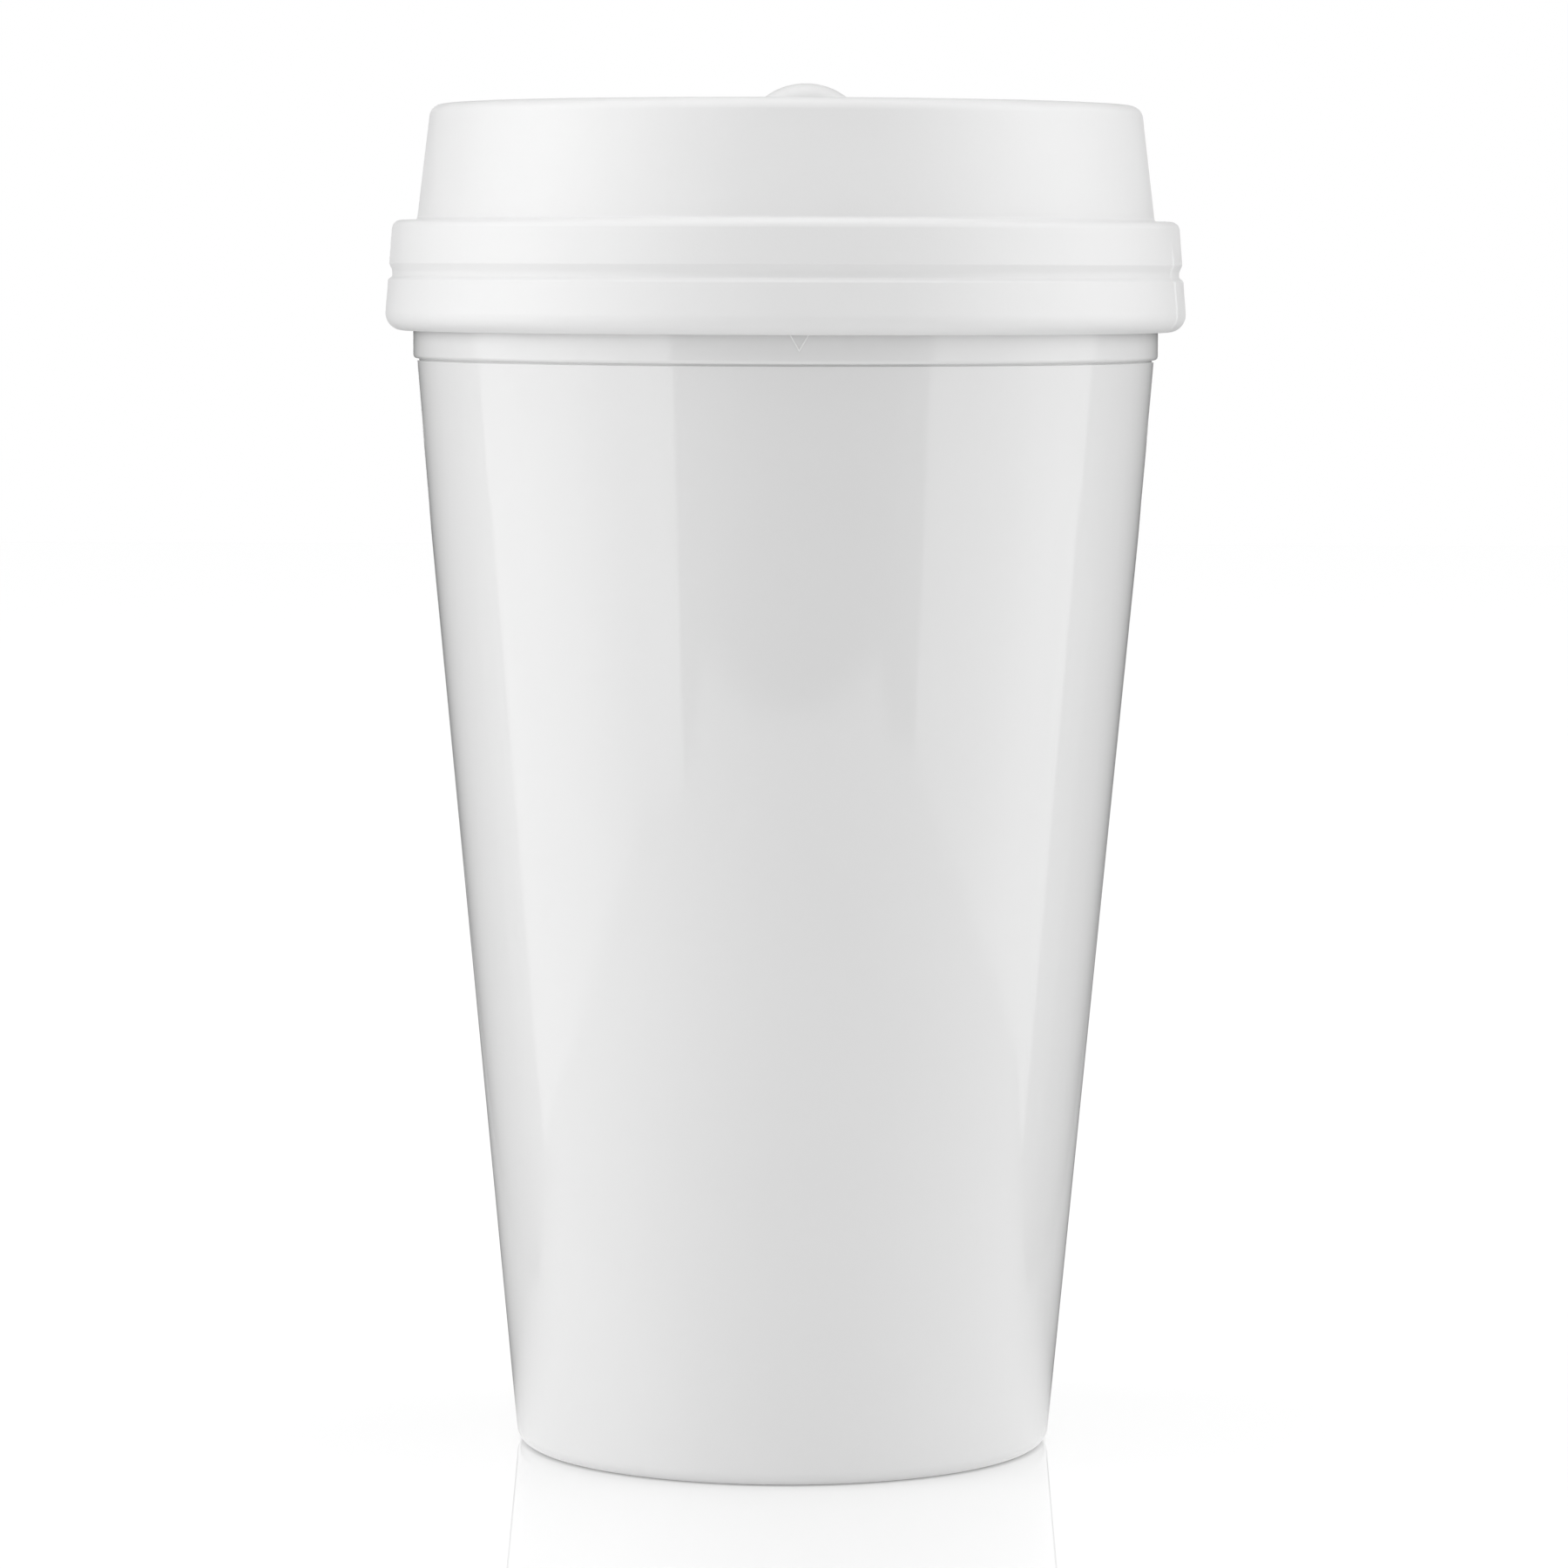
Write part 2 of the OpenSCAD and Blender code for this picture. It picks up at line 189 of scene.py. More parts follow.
# Heights
FLOOR_Z = FOOT_HOLLOW + SHELL_FLOOR
SEAM_Z = SHELL_H + SEAM_GAP
RIM_Z = SEAM_Z + NECK_H
BAND_TOP = RIM_Z + WEB_T
BAND_BOTTOM = BAND_TOP - BAND_H
LEDGE_Z = BAND_TOP - BROW_DROP
COLLAR_TOP = BAND_BOTTOM + SKIRT_LAP
GROOVE_LOW = BAND_TOP - GROOVE_DROP - GROOVE_H / 2
GROOVE_HIGH = GROOVE_LOW + GROOVE_H
LIP_Z = BAND_TOP + DOME_H
DECK_Z = LIP_Z - DECK_DROP
DECK_UNDER = DECK_Z - DECK_T
TRACK_Z = DECK_Z - TRACK_DEEP
PLUG_Z = RIM_Z - PLUG_L
SEAL_Z = PLUG_Z + SEAL_RISE

# Radii
COLLAR_R = shell_r(SHELL_H) + COLLAR_OVER
NECK_R = COLLAR_R - NECK_STEP
NECK_IN = NECK_R - NECK_WALL
SKIRT_R = COLLAR_R + SKIRT_CLEAR
BAND_R = SKIRT_R + BAND_WALL


def face_r(z):
    """Radius of the band's face at height z."""
    return BAND_R - (z - BAND_BOTTOM - BAND_FOOT) * BAND_DRAFT


LEAN = math.tan(DOME_LEAN * RAD)
DOME_R = face_r(BAND_TOP) - LEDGE_W
LIP_R = DOME_R - (DOME_H - LIP_T / 2) * LEAN
DECK_R = LIP_R - LIP_T
PLUG_R = NECK_IN - PLUG_CLEAR
PLUG_IN = PLUG_R - PLUG_WALL

# Closure, measured from the axis towards the drinking side
PLATE_W = DRINK_W + 2 * SIDE_COVER
DRINK_OUT = DECK_R - TRACK_EDGE - PLATE_CLEAR - COVER
DRINK_IN = DRINK_OUT - DRINK_L
TRAVEL = DRINK_L + 2 * COVER
PLATE_FRONT = DRINK_IN - COVER
PLATE_REAR = PLATE_FRONT - PLATE_L
SLOT_REAR = PLATE_REAR + TRAVEL + REAR_COVER
LEG_Y = SLOT_REAR + PLATE_CLEAR + LEG_L / 2
KNOB_Y = PLATE_FRONT - KNOB_SET - KNOB_T / 2

# Fineness of the meshes
ROUND_STEPS = 256
VENT_STEPS = 32
KNOB_STEPS = 72
MARK_ROWS = 10  # along each stroke of the mark
MARK_COLUMNS = 4  # on each side of a stroke's middle
EDGE_SHARE = 0.96  # part of an edge that the roundings at its two ends may use up
STRAIGHT = 89.5  # half a corner's angle in degrees, above which it counts as straight
SMOOTH = 9.0  # degrees between two faces up to which they are shaded as one
FLAT_RUN = 4.0  # length of a flat face beside a rounded edge, of which only the edge is kept
HAIR = 0.001  # keeps two points of a half-round end apart
TOUCH = 1e-6  # distance from the axis at which a ring is one point
SAME_POINT = 1e-7  # distance at which a flat face's points are one
NO_AREA = 1e-9


# Mesh building


def corner_arc(a, b, c, step, side):
    """The rounded corner b between a and c, as points with their normals.

    Corners are (x, z, radius). One that is nearly straight gives its own point and None.
    """
    here = Vector(b[:2])
    u, v = Vector(a[:2]) - here, Vector(c[:2]) - here
    lu, lv = u.length, v.length
    u, v = u.normalized(), v.normalized()
    half = math.acos(max(-1.0, min(1.0, u.dot(v)))) / 2
    if half > STRAIGHT * RAD:
        return [(here, None)]
    free = EDGE_SHARE * min(lu * b[2] / (a[2] + b[2]), lv * b[2] / (c[2] + b[2]))
    r = min(b[2], free * math.tan(half))
    mid = here + (u + v).normalized() * r / math.sin(half)
    start = here + u * r / math.tan(half)
    end = here + v * r / math.tan(half)
    first = math.atan2(start.y - mid.y, start.x - mid.x)
    sweep = math.atan2(end.y - mid.y, end.x - mid.x) - first
    sweep = (sweep + math.pi) % (2 * math.pi) - math.pi
    outward = 1.0 if sweep * side > 0 else -1.0
    count = max(2, math.ceil(abs(sweep) / (step * RAD)))
    arc = []
    for k in range(count + 1):
        t = first + sweep * k / count
        d = Vector((math.cos(t), math.sin(t)))
        arc.append((mid + d * r, d * outward))
    return arc


def rounded_path(corners, closed=True, step=5.0):
    """Corners (x, z, radius) as path nodes (x, z, normal before, normal after).

    Each corner with a radius becomes an arc with a node every step degrees. The normals
    point out of the solid.
    """
    n = len(corners)
    area = sum(
        corners[i][0] * corners[(i + 1) % n][1] - corners[(i + 1) % n][0] * corners[i][1]
        for i in range(n)
    )
    side = 1.0 if area > 0 else -1.0
    pts = []
    for i in range(n):
        at_end = not closed and i in (0, n - 1)
        if corners[i][2] == 0 or at_end:
            pts.append((Vector(corners[i][:2]), None))
        else:
            pts += corner_arc(corners[i - 1], corners[i], corners[(i + 1) % n], step, side)
    m = len(pts)

    def edge_normal(i, j):
        d = (pts[j][0] - pts[i][0]).normalized()
        return Vector((d.y, -d.x)) * side

    nodes = []
    for i in range(m):
        p, normal = pts[i]
        if normal is not None:
            nodes.append((p.x, p.y, normal, normal))
            continue
        before = edge_normal((i - 1) % m, i) if closed or i > 0 else edge_normal(i, i + 1)
        after = edge_normal(i, (i + 1) % m) if closed or i < m - 1 else before
        if before.angle(after) < SMOOTH * RAD:
            before = after = (before + after).normalized()
        nodes.append((p.x, p.y, before, after))
    return nodes


def circle(n, extra=(), centre=(0.0, 0.0), radius=0.0):
    """An outline of (centre x, centre y, direction x, direction y, radius, angle)."""
    angles = [2 * math.pi * k / n for k in range(n)] + [a % (2 * math.pi) for a in extra]
    return [(*centre, math.sin(a), -math.cos(a), radius, a) for a in sorted(angles)]


def rounded_slab(w, length, front, r, n=12):
    """The outline of a rounded rectangle, with its front edge at y = -front."""
    x, y0, y1 = w / 2 - r, -front + r, -front + length - r
    outline = []
    for cx, cy, start in ((x, y0, 0), (x, y1, 90), (-x, y1, 180), (-x, y0, 270)):
        for k in range(n + 1):
            a = (start + 90 * k / n) * RAD
            outline.append((cx, cy, math.sin(a), -math.cos(a), r, a))
    return outline


class Skin:
    """Collects vertices, faces and exact corner normals, in millimetres."""

    def __init__(self):
        self.verts, self.faces, self.normals = [], [], []

    def face(self, ids, normals):
        """Adds a face, turned so that it looks the way its normals do."""
        pts = [Vector(self.verts[i]) for i in ids]
        area = Vector((0, 0, 0))
        for k in range(1, len(pts) - 1):
            area += (pts[k] - pts[0]).cross(pts[k + 1] - pts[0])
        if area.length < NO_AREA:
            return
        total = sum((Vector(n) for n in normals), Vector((0, 0, 0)))
        if area.dot(total) < 0:
            ids, normals = ids[::-1], normals[::-1]
        self.faces.append(list(ids))
        self.normals.extend(tuple(n) for n in normals)

    def ring(self, outline, x, z, out, push):
        """A ring of vertices that stands a distance x out from an outline."""
        start = len(self.verts)
        for cx, cy, ux, uy, r, a in outline:
            d = r + out * x + (push(a, x, z)[0] if push else 0.0)
            self.verts.append((cx + d * ux, cy + d * uy, z))
        return list(range(start, start + len(outline)))

    def sweep(self, outline, path, closed=False, push=None, out=1.0):
        """Carries a path of nodes along an outline. Returns the rings of vertices.

        With out = -1 the path's x runs into the outline, as it does in a hole. What
        push gives for an angle, an x and a z is a height and a slope on top of the path.
        """
        rings = []
        for x, z, _, _ in path:
            if abs(x) < TOUCH and outline[0][4] == 0:
                self.verts.append((*outline[0][:2], z))
                rings.append([len(self.verts) - 1] * len(outline))
            else:
                rings.append(self.ring(outline, x, z, out, push))
        m = len(outline)

        def normal(node, which, j):
            n = node[which]
            _, _, ux, uy, _, a = outline[j]
            slope = push(a, node[0], node[1])[1] if push else 0.0
            across = n.x * out
            return Vector(
                (across * (ux + slope * uy), across * (uy - slope * ux), n.y)
            ).normalized()

        for i in range(len(path) if closed else len(path) - 1):
            k = (i + 1) % len(path)
            for j in range(m):
                q = (j + 1) % m
                ids = [rings[i][j], rings[k][j], rings[k][q], rings[i][q]]
                ns = [
                    normal(path[i], 3, j), normal(path[k], 2, j),
                    normal(path[k], 2, q), normal(path[i], 3, q),
                ]
                keep = [c for c in range(4) if ids[c] not in ids[:c]]
                if len(keep) > 2:
                    self.face([ids[c] for c in keep], [ns[c] for c in keep])
        return rings

    def flat(self, outer, holes, up):
        """Fills the plane between an outer ring and holes with triangles."""
        loops = [outer] + list(holes)
        local = {}
        for loop in loops:
            for i in loop:
                local.setdefault(i, len(local))
        order = sorted(local, key=local.get)
        pts = [Vector(self.verts[i][:2]) for i in order]
        edges = [
            (local[loop[k]], local[loop[(k + 1) % len(loop)]])
            for loop in loops
            for k in range(len(loop))
        ]
        made = delaunay_2d_cdt(pts, edges, [], 0, SAME_POINT, True)
        back = [order[sources[0]] for sources in made[3]]
        for tri in made[2]:
            mid = sum((made[0][t] for t in tri), Vector((0, 0))) / len(tri)
            if not self.inside(mid, outer) or any(self.inside(mid, h) for h in holes):
                continue
            self.face([back[t] for t in tri], [(0, 0, up)] * len(tri))

    def inside(self, p, loop):
        """Whether a point lies inside a ring of vertices, seen from above."""
        hit = False
        for k in range(len(loop)):
            x0, y0, _ = self.verts[loop[k]]
            x1, y1, _ = self.verts[loop[(k + 1) % len(loop)]]
            if (y0 > p.y) != (y1 > p.y) and p.x < (x1 - x0) * (p.y - y0) / (y1 - y0) + x0:
                hit = not hit
        return hit

    def build(self, name, turn=0.0):
        """Makes the mesh object, turned about the cup's axis by degrees."""
        rot = Matrix.Rotation(turn * RAD, 3, "Z")
        mesh = bpy.data.meshes.new(name)
        mesh.from_pydata([rot @ Vector(v) * MM for v in self.verts], [], self.faces)
        mesh.polygons.foreach_set("use_smooth", [True] * len(mesh.polygons))
        mesh.normals_split_custom_set([rot @ Vector(n) for n in self.normals])
        mesh.update()
        obj = bpy.data.objects.new(name, mesh)
        bpy.context.scene.collection.objects.link(obj)
        return obj


def wall(inset, a, b, n=14):
    """Corners along a wall that lies inset from the shell's outside, from height a to b."""
    zs = [a + (b - a) * i / n for i in range(n + 1)]
    return [(shell_r(z) - inset, z, 0.0) for z in zs]


# Pieces

ROUND = circle(ROUND_STEPS)


def make_shell():
    top_r = shell_r(SHELL_H)
    edge_z = SHELL_H + SEAM_BELOW
    seam_r = top_r - SEAM_DEEP
    ring_out = shell_r(0) - FOOT_FILLET
    ring_in = ring_out - FOOT_RING_W
    corners = (
        [(0, FOOT_HOLLOW, 0), (ring_in, FOOT_HOLLOW, SHELL_EDGE)]
        + [(ring_in + FOOT_HOLLOW / 2, 0, SHELL_EDGE), (shell_r(0), 0, FOOT_FILLET)]
        + wall(0, EASE_Z / 2, SHELL_H - 2 * SHELL_EDGE, 40)
        + [(top_r, edge_z, SEAM_SOFT), (seam_r, edge_z, 0), (seam_r, SEAM_Z, 0)]
        + [(top_r - SHELL_WALL, SEAM_Z, 0)]
        + wall(SHELL_WALL, SHELL_H, EASE_Z)
        + [(shell_r(FLOOR_Z) - SHELL_WALL, FLOOR_Z, FLOOR_FILLET), (0, FLOOR_Z, 0)]
    )
    skin = Skin()
    skin.sweep(ROUND, rounded_path(corners, closed=False))
    return skin.build("outer_shell_skin")


def make_liner():
    outside = SHELL_WALL + AIR_GAP
    inside = outside + LINER_WALL
    under_z = FLOOR_Z + FLOOR_GAP
    bottom_z = under_z + LINER_WALL
    land_z = SEAM_Z - LAND_H
    land_r = shell_r(land_z) - SHELL_WALL - LAND_CLEAR
    shoulder_z = land_z - SHOULDER_H
    seat_r = shell_r(SHELL_H) - SEAM_DEEP
    edge_z = SEAM_Z + SEAM_ABOVE
    corners = (
        [(0, under_z, 0), (shell_r(under_z) - outside, under_z, LINER_FILLET)]
        + wall(outside, EASE_Z, shoulder_z)
        + [(land_r, land_z, 0), (land_r, SEAM_Z, 0), (seat_r, SEAM_Z, 0)]
        + [(seat_r, edge_z, 0), (COLLAR_R, edge_z, COLLAR_EDGE)]
        + [(COLLAR_R, COLLAR_TOP - NECK_STEP, 0), (NECK_R, COLLAR_TOP, 0)]
        + [(NECK_R, RIM_Z, RIM_EDGE), (NECK_IN, RIM_Z, RIM_EDGE)]
        + [(NECK_IN, PLUG_Z - PLUG_ROOM, PLUG_ROOM)]
        + wall(inside, shoulder_z + LINER_WALL / 2, EASE_Z)
        + [(shell_r(bottom_z) - inside, bottom_z, LINER_FILLET + LINER_WALL / 2)]
        + [(0, bottom_z, 0)]
    )
    skin = Skin()
    skin.sweep(ROUND, rounded_path(corners, closed=False))
    alignment_mark(skin)
    return skin.build("inner_liner_skin")


def mark_line():
    """Places (round the collar, height, sideways direction) along the mark's two strokes."""
    half = MARK_ANGLE / 2 * RAD
    tip_z = SEAM_Z + MARK_TIP
    rise = BAND_BOTTOM + MARK_LAP - tip_z - MARK_W
    line = []
    for k in range(-MARK_ROWS, MARK_ROWS + 1):
        t = abs(k) / MARK_ROWS
        s = math.copysign(t * rise * math.tan(half), k) if k else 0.0
        z = tip_z + MARK_W / 2 / math.sin(half) + t * rise
        if k == 0:
            side = (0.0, -1.0 / math.sin(half))
        else:
            side = (math.copysign(math.cos(half), k), -math.sin(half))
        line.append((s, z, side))
    return line


def alignment_mark(skin):
    """Two fine raised strokes in a V, laid round the collar as one strip."""
    steep = MARK_STEEP * RAD
    across = []
    for k in range(-MARK_COLUMNS, MARK_COLUMNS + 1):
        tilt = steep * k / MARK_COLUMNS
        rise = (math.cos(tilt) - math.cos(steep)) / (1 - math.cos(steep))
        across.append((math.sin(tilt) / math.sin(steep), rise - MARK_SUNK, tilt))
    grid = []
    for s, z, side in mark_line():
        row = []
        for d, proud, tilt in across:
            a = (s + side[0] * d * MARK_W / 2) / COLLAR_R + MARK_TURN * RAD
            r = COLLAR_R + proud * MARK_PROUD
            out = Vector((math.sin(a), -math.cos(a), 0))
            along = Vector((math.cos(a), math.sin(a), 0))
            sideways = along * side[0] + Vector((0, 0, side[1]))
            lean = math.tan(tilt) / math.hypot(*side)
            height = z + side[1] * d * MARK_W / 2
            skin.verts.append((r * math.sin(a), -r * math.cos(a), height))
            row.append((len(skin.verts) - 1, (out + sideways * lean).normalized()))
        grid.append(row)
    for i in range(len(grid) - 1):
        for j in range(len(across) - 1):
            cells = [grid[i][j], grid[i + 1][j], grid[i + 1][j + 1], grid[i][j + 1]]
            skin.face([c[0] for c in cells], [c[1] for c in cells])


def make_seal():
    r_in = PLUG_R - SEAL_GROOVE + SEAL_CLEAR
    r_out = NECK_IN - SEAL_CLEAR
    low, high = SEAL_Z + SEAL_CLEAR, SEAL_Z + SEAL_H - SEAL_CLEAR
    lip = SEAL_H / 4
    outline = [
        (r_in, low), (r_out, low), (r_out, low + lip), (r_out - SEAL_WAIST, (low + high) / 2),
        (r_out, high - lip), (r_out, high), (r_in, high),
    ]
    skin = Skin()
    path = rounded_path([(r, z, SEAL_EDGE) for r, z in outline], step=12)
    skin.sweep(ROUND, path, closed=True)
    return skin.build("lid_seal_skin")


def parting(angle, r, z):
    """Height and slope of the parting lines at a place on the lid.

    They run down the outside of the band from the witness line.
    """
    if r < SKIRT_R + BAND_WALL / 4:
        return 0.0, 0.0
    fade = min(1.0, max(0.0, (WITNESS_Z - PARTING_FADE / 2 - z) / PARTING_FADE))
    for place in PARTING:
        d = (angle - place * RAD + math.pi) % (2 * math.pi) - math.pi
        s = d * BAND_R / PARTING_W
        if abs(s) < 3:
            h = PARTING_H * fade * math.exp(-s * s)
            return h, -2 * s / PARTING_W * h
    return 0.0, 0.0


def lid_corners():
    """The lid's section, from the middle of the deck round the outside and the plug."""
    hollow_z = BAND_TOP + DOME_WALL / 2
    hollow_r = DOME_R - DOME_WALL
    hollow_top = hollow_r - (DECK_UNDER - hollow_z) * LEAN
    groove_r = face_r(GROOVE_HIGH) - GROOVE_DEEP
    seal_r = PLUG_R - SEAL_GROOVE
    seal_top = SEAL_Z + SEAL_H
    return [
        (0, DECK_Z, 0),
        (DECK_R, DECK_Z, DECK_FILLET),
        (DECK_R, LIP_Z, LIP_T / 2),
        (LIP_R - LEAN * LIP_T / 2, LIP_Z, LIP_T / 2),
        (DOME_R, LEDGE_Z, BAND_EDGE),
        (face_r(LEDGE_Z) - BROW_LEAN, LEDGE_Z, BROW_SOFT),
        (face_r(WITNESS_Z), WITNESS_Z, WITNESS_EDGE),
        (face_r(GROOVE_HIGH), GROOVE_HIGH, GROOVE_BROW),
        (groove_r, GROOVE_HIGH - 2 * GROOVE_DEEP - GROOVE_SOFT, GROOVE_HOLLOW),
        (groove_r, GROOVE_LOW + 2 * GROOVE_SOFT, BAND_EDGE),
        (face_r(GROOVE_LOW), GROOVE_LOW - GROOVE_SOFT, BAND_EDGE),
        (face_r(BAND_BOTTOM), BAND_BOTTOM, BAND_FOOT),
        (SKIRT_R, BAND_BOTTOM, BAND_EDGE),
        (SKIRT_R, RIM_Z, 0),
        (PLUG_R, RIM_Z, 0),
        (PLUG_R, seal_top, 0),
        (seal_r, seal_top, 0),
        (seal_r, SEAL_Z, 0),
        (PLUG_R, SEAL_Z, 0),
        (PLUG_R, PLUG_Z, PLUG_EDGE),
        (PLUG_IN, PLUG_Z, PLUG_EDGE),
        (PLUG_IN, RIM_Z, PLUG_EDGE),
        (hollow_r, hollow_z, PLUG_EDGE),
        (hollow_top, DECK_UNDER, DOME_FILLET),
        (0, DECK_UNDER, 0),
    ]


def off_axis(path):
    """The nodes of a path without those on the axis, where flat faces take over."""
    return [node for node in path if node[0] > 1]


def make_lid():
    lines = range(-PARTING_STEPS, PARTING_STEPS + 1)
    extra = [place * RAD + k * PARTING_W / 4 / BAND_R for place in PARTING for k in lines]
    skin = Skin()
    path = off_axis(rounded_path(lid_corners()))
    rings = skin.sweep(circle(ROUND_STEPS, extra), path, push=parting)

    track_front = PLATE_FRONT + TRAVEL + PLATE_CLEAR
    track_l = track_front - (PLATE_REAR - PLATE_CLEAR)
    track_w = PLATE_W + 2 * PLATE_CLEAR
    slot_front = LEG_Y + LEG_L / 2 + TRAVEL + PLATE_CLEAR
    slot_w = LEGS_W + 2 * PLATE_CLEAR
    track = rounded_slab(track_w, track_l, track_front, PLATE_CORNER + PLATE_CLEAR)
    slot = rounded_slab(slot_w, slot_front - SLOT_REAR, slot_front, SLOT_CORNER)
    drink = rounded_slab(DRINK_W, DRINK_L, DRINK_OUT, DRINK_L / 2 - HAIR)
    vent = circle(VENT_STEPS, (), (0.0, DECK_R - VENT_EDGE), VENT_D / 2)

    def hole(outline, top, bottom, top_edge, low_edge, shelf=False):
        """The wall of a hole with rounded edges. A shelf goes on inwards at its bottom."""
        corners = [(-FLAT_RUN, top, 0), (0, top, top_edge), (0, bottom, low_edge)]
        corners.append((FLAT_RUN if shelf else -FLAT_RUN, bottom, 0))
        return skin.sweep(outline, rounded_path(corners, closed=False)[1:-1], out=-1.0)

    r_track = hole(track, DECK_Z, TRACK_Z, HOLE_EDGE, SMALL_EDGE, shelf=True)
    r_drink = hole(drink, TRACK_Z, DECK_UNDER, HOLE_EDGE, HOLE_EDGE)
    r_slot = hole(slot, TRACK_Z, DECK_UNDER, SMALL_EDGE, SMALL_EDGE)
    r_vent = hole(vent, DECK_Z, DECK_UNDER, HOLE_EDGE, SMALL_EDGE)
    skin.flat(rings[0], [r_track[0], r_vent[0]], 1)
    skin.flat(r_track[-1], [r_drink[0], r_slot[0]], 1)
    skin.flat(rings[-1], [r_drink[-1], r_slot[-1], r_vent[-1]], -1)
    return skin.build("lid_body_skin", LID_TURN)


def make_slider():
    skin = Skin()
    plate = rounded_slab(PLATE_W, PLATE_L, PLATE_FRONT, PLATE_CORNER, 16)
    plate_top = TRACK_Z + PLATE_T
    corners = [
        (-FLAT_RUN, TRACK_Z, 0), (0, TRACK_Z, SMALL_EDGE),
        (0, plate_top, PLATE_EDGE), (-FLAT_RUN, plate_top, 0),
    ]
    rings = skin.sweep(plate, rounded_path(corners, closed=False)[1:-1])
    skin.flat(rings[0], [], -1)
    skin.flat(rings[-1], [], 1)
    knob(skin)
    for side in (1, -1):
        leg(skin, side)
    return skin.build("closure_slider_skin", LID_TURN)


def knob(skin):
    """An upright disc with soft edges that stands on the plate."""
    zc = LIP_Z + KNOB_RISE - KNOB_R
    cut = TRACK_Z + PLATE_T / 2 - zc
    t = KNOB_T / 2
    section = [(0, -t, 0), (KNOB_R, -t, KNOB_SOFT), (KNOB_R, t, KNOB_SOFT), (0, t, 0)]
    nodes = off_axis(rounded_path(section))
    rings = []
    for r, y, _, _ in nodes:
        a0 = math.asin(cut / r)
        ring = []
        for k in range(KNOB_STEPS + 1):
            a = a0 + (math.pi - 2 * a0) * k / KNOB_STEPS
            skin.verts.append((r * math.cos(a), y - KNOB_Y, zc + r * math.sin(a)))
            ring.append((len(skin.verts) - 1, a))
        rings.append(ring)
    for i in range(len(nodes) - 1):
        for k in range(KNOB_STEPS):
            quad = [(i, k, 3), (i + 1, k, 2), (i + 1, k + 1, 2), (i, k + 1, 3)]
            ids, ns = [], []
            for p, q, which in quad:
                n, a = nodes[p][which], rings[p][q][1]
                ids.append(rings[p][q][0])
                ns.append(Vector((n.x * math.cos(a), n.y, n.x * math.sin(a))))
            skin.face(ids, ns)
    front = [v for v, _ in rings[0]]
    back = [v for v, _ in rings[-1]]
    under = [ring[0][0] for ring in rings] + [ring[-1][0] for ring in reversed(rings)]
    skin.face(front, [(0, -1, 0)] * len(front))
    skin.face(back, [(0, 1, 0)] * len(back))
    skin.face(under, [(0, 0, -1)] * len(under))


def leg(skin, side):
    """One springy leg with its hook, a prism along the sliding direction."""
    root = TRACK_Z + PLATE_T / 2
    top = DECK_UNDER - HOOK_CLEAR
    low = top - HOOK_H
    inner, outer = LEG_GAP / 2, LEGS_W / 2
    corners = [
        (inner, root, 0), (inner, low, LEG_EDGE), (outer, low, LEG_EDGE),
        (outer + HOOK, top, LEG_EDGE), (outer, top, LEG_EDGE), (outer, root, 0),
    ]
    nodes = rounded_path(corners, step=20)
    m = len(nodes)
    rings = []
    for y in (-LEG_Y - LEG_L / 2, -LEG_Y + LEG_L / 2):
        start = len(skin.verts)
        skin.verts.extend((side * x, y, z) for x, z, _, _ in nodes)
        rings.append(list(range(start, start + m)))
    for i in range(m):
        k = (i + 1) % m
        here, there = nodes[i][3], nodes[k][2]
        n_here = (side * here.x, 0, here.y)
        n_there = (side * there.x, 0, there.y)
        ids = [rings[0][i], rings[0][k], rings[1][k], rings[1][i]]
        skin.face(ids, [n_here, n_there, n_there, n_here])
    skin.face(rings[0], [(0, -1, 0)] * m)
    skin.face(rings[1], [(0, 1, 0)] * m)


# Helpers for materials


def feed(tree, socket, given):
    """Sets a socket to a number or colour, or links it to another node's output."""
    if isinstance(given, bpy.types.NodeSocket):
        tree.links.new(given, socket)
    else:
        socket.default_value = given


def ramp(tree, value, low, high, to_low, to_high):
    """Runs evenly from to_low to to_high while value runs from low to high."""
    node = tree.nodes.new("ShaderNodeMapRange")
    feed(tree, node.inputs["Value"], value)
    feed(tree, node.inputs["From Min"], low)
    feed(tree, node.inputs["From Max"], high)
    feed(tree, node.inputs["To Min"], to_low)
    feed(tree, node.inputs["To Max"], to_high)
    return node.outputs["Result"]


def blend(tree, share, one, other):
    """One colour where share is 0, and the other where it is 1."""
    node = tree.nodes.new("ShaderNodeMixRGB")
    feed(tree, node.inputs["Fac"], share)
    feed(tree, node.inputs["Color1"], one)
    feed(tree, node.inputs["Color2"], other)
    return node.outputs["Color"]


def calculate(tree, operation, one, other):
    node = tree.nodes.new("ShaderNodeMath")
    node.operation = operation
    feed(tree, node.inputs[0], one)
    feed(tree, node.inputs[1], other)
    return node.outputs[0]


def distance(tree, place):
    """The length of a vector."""
    node = tree.nodes.new("ShaderNodeVectorMath")
    node.operation = "LENGTH"
    feed(tree, node.inputs[0], place)
    return node.outputs["Value"]


def noise(tree, place, scale, detail, twist=0.0):
    node = tree.nodes.new("ShaderNodeTexNoise")
    node.inputs["Scale"].default_value = scale
    node.inputs["Detail"].default_value = detail
    node.inputs["Distortion"].default_value = twist
    tree.links.new(place, node.inputs["Vector"])
    return node.outputs["Fac"]


def bumpy(tree, height, depth, normal=None):
    """The surface's normal with bumps of a depth in metres, over another normal if given."""
    node = tree.nodes.new("ShaderNodeBump")
    node.inputs["Strength"].default_value = 1.0
    node.inputs["Distance"].default_value = depth
    tree.links.new(height, node.inputs["Height"])
    if normal is not None:
        tree.links.new(normal, node.inputs["Normal"])
    return node.outputs["Normal"]


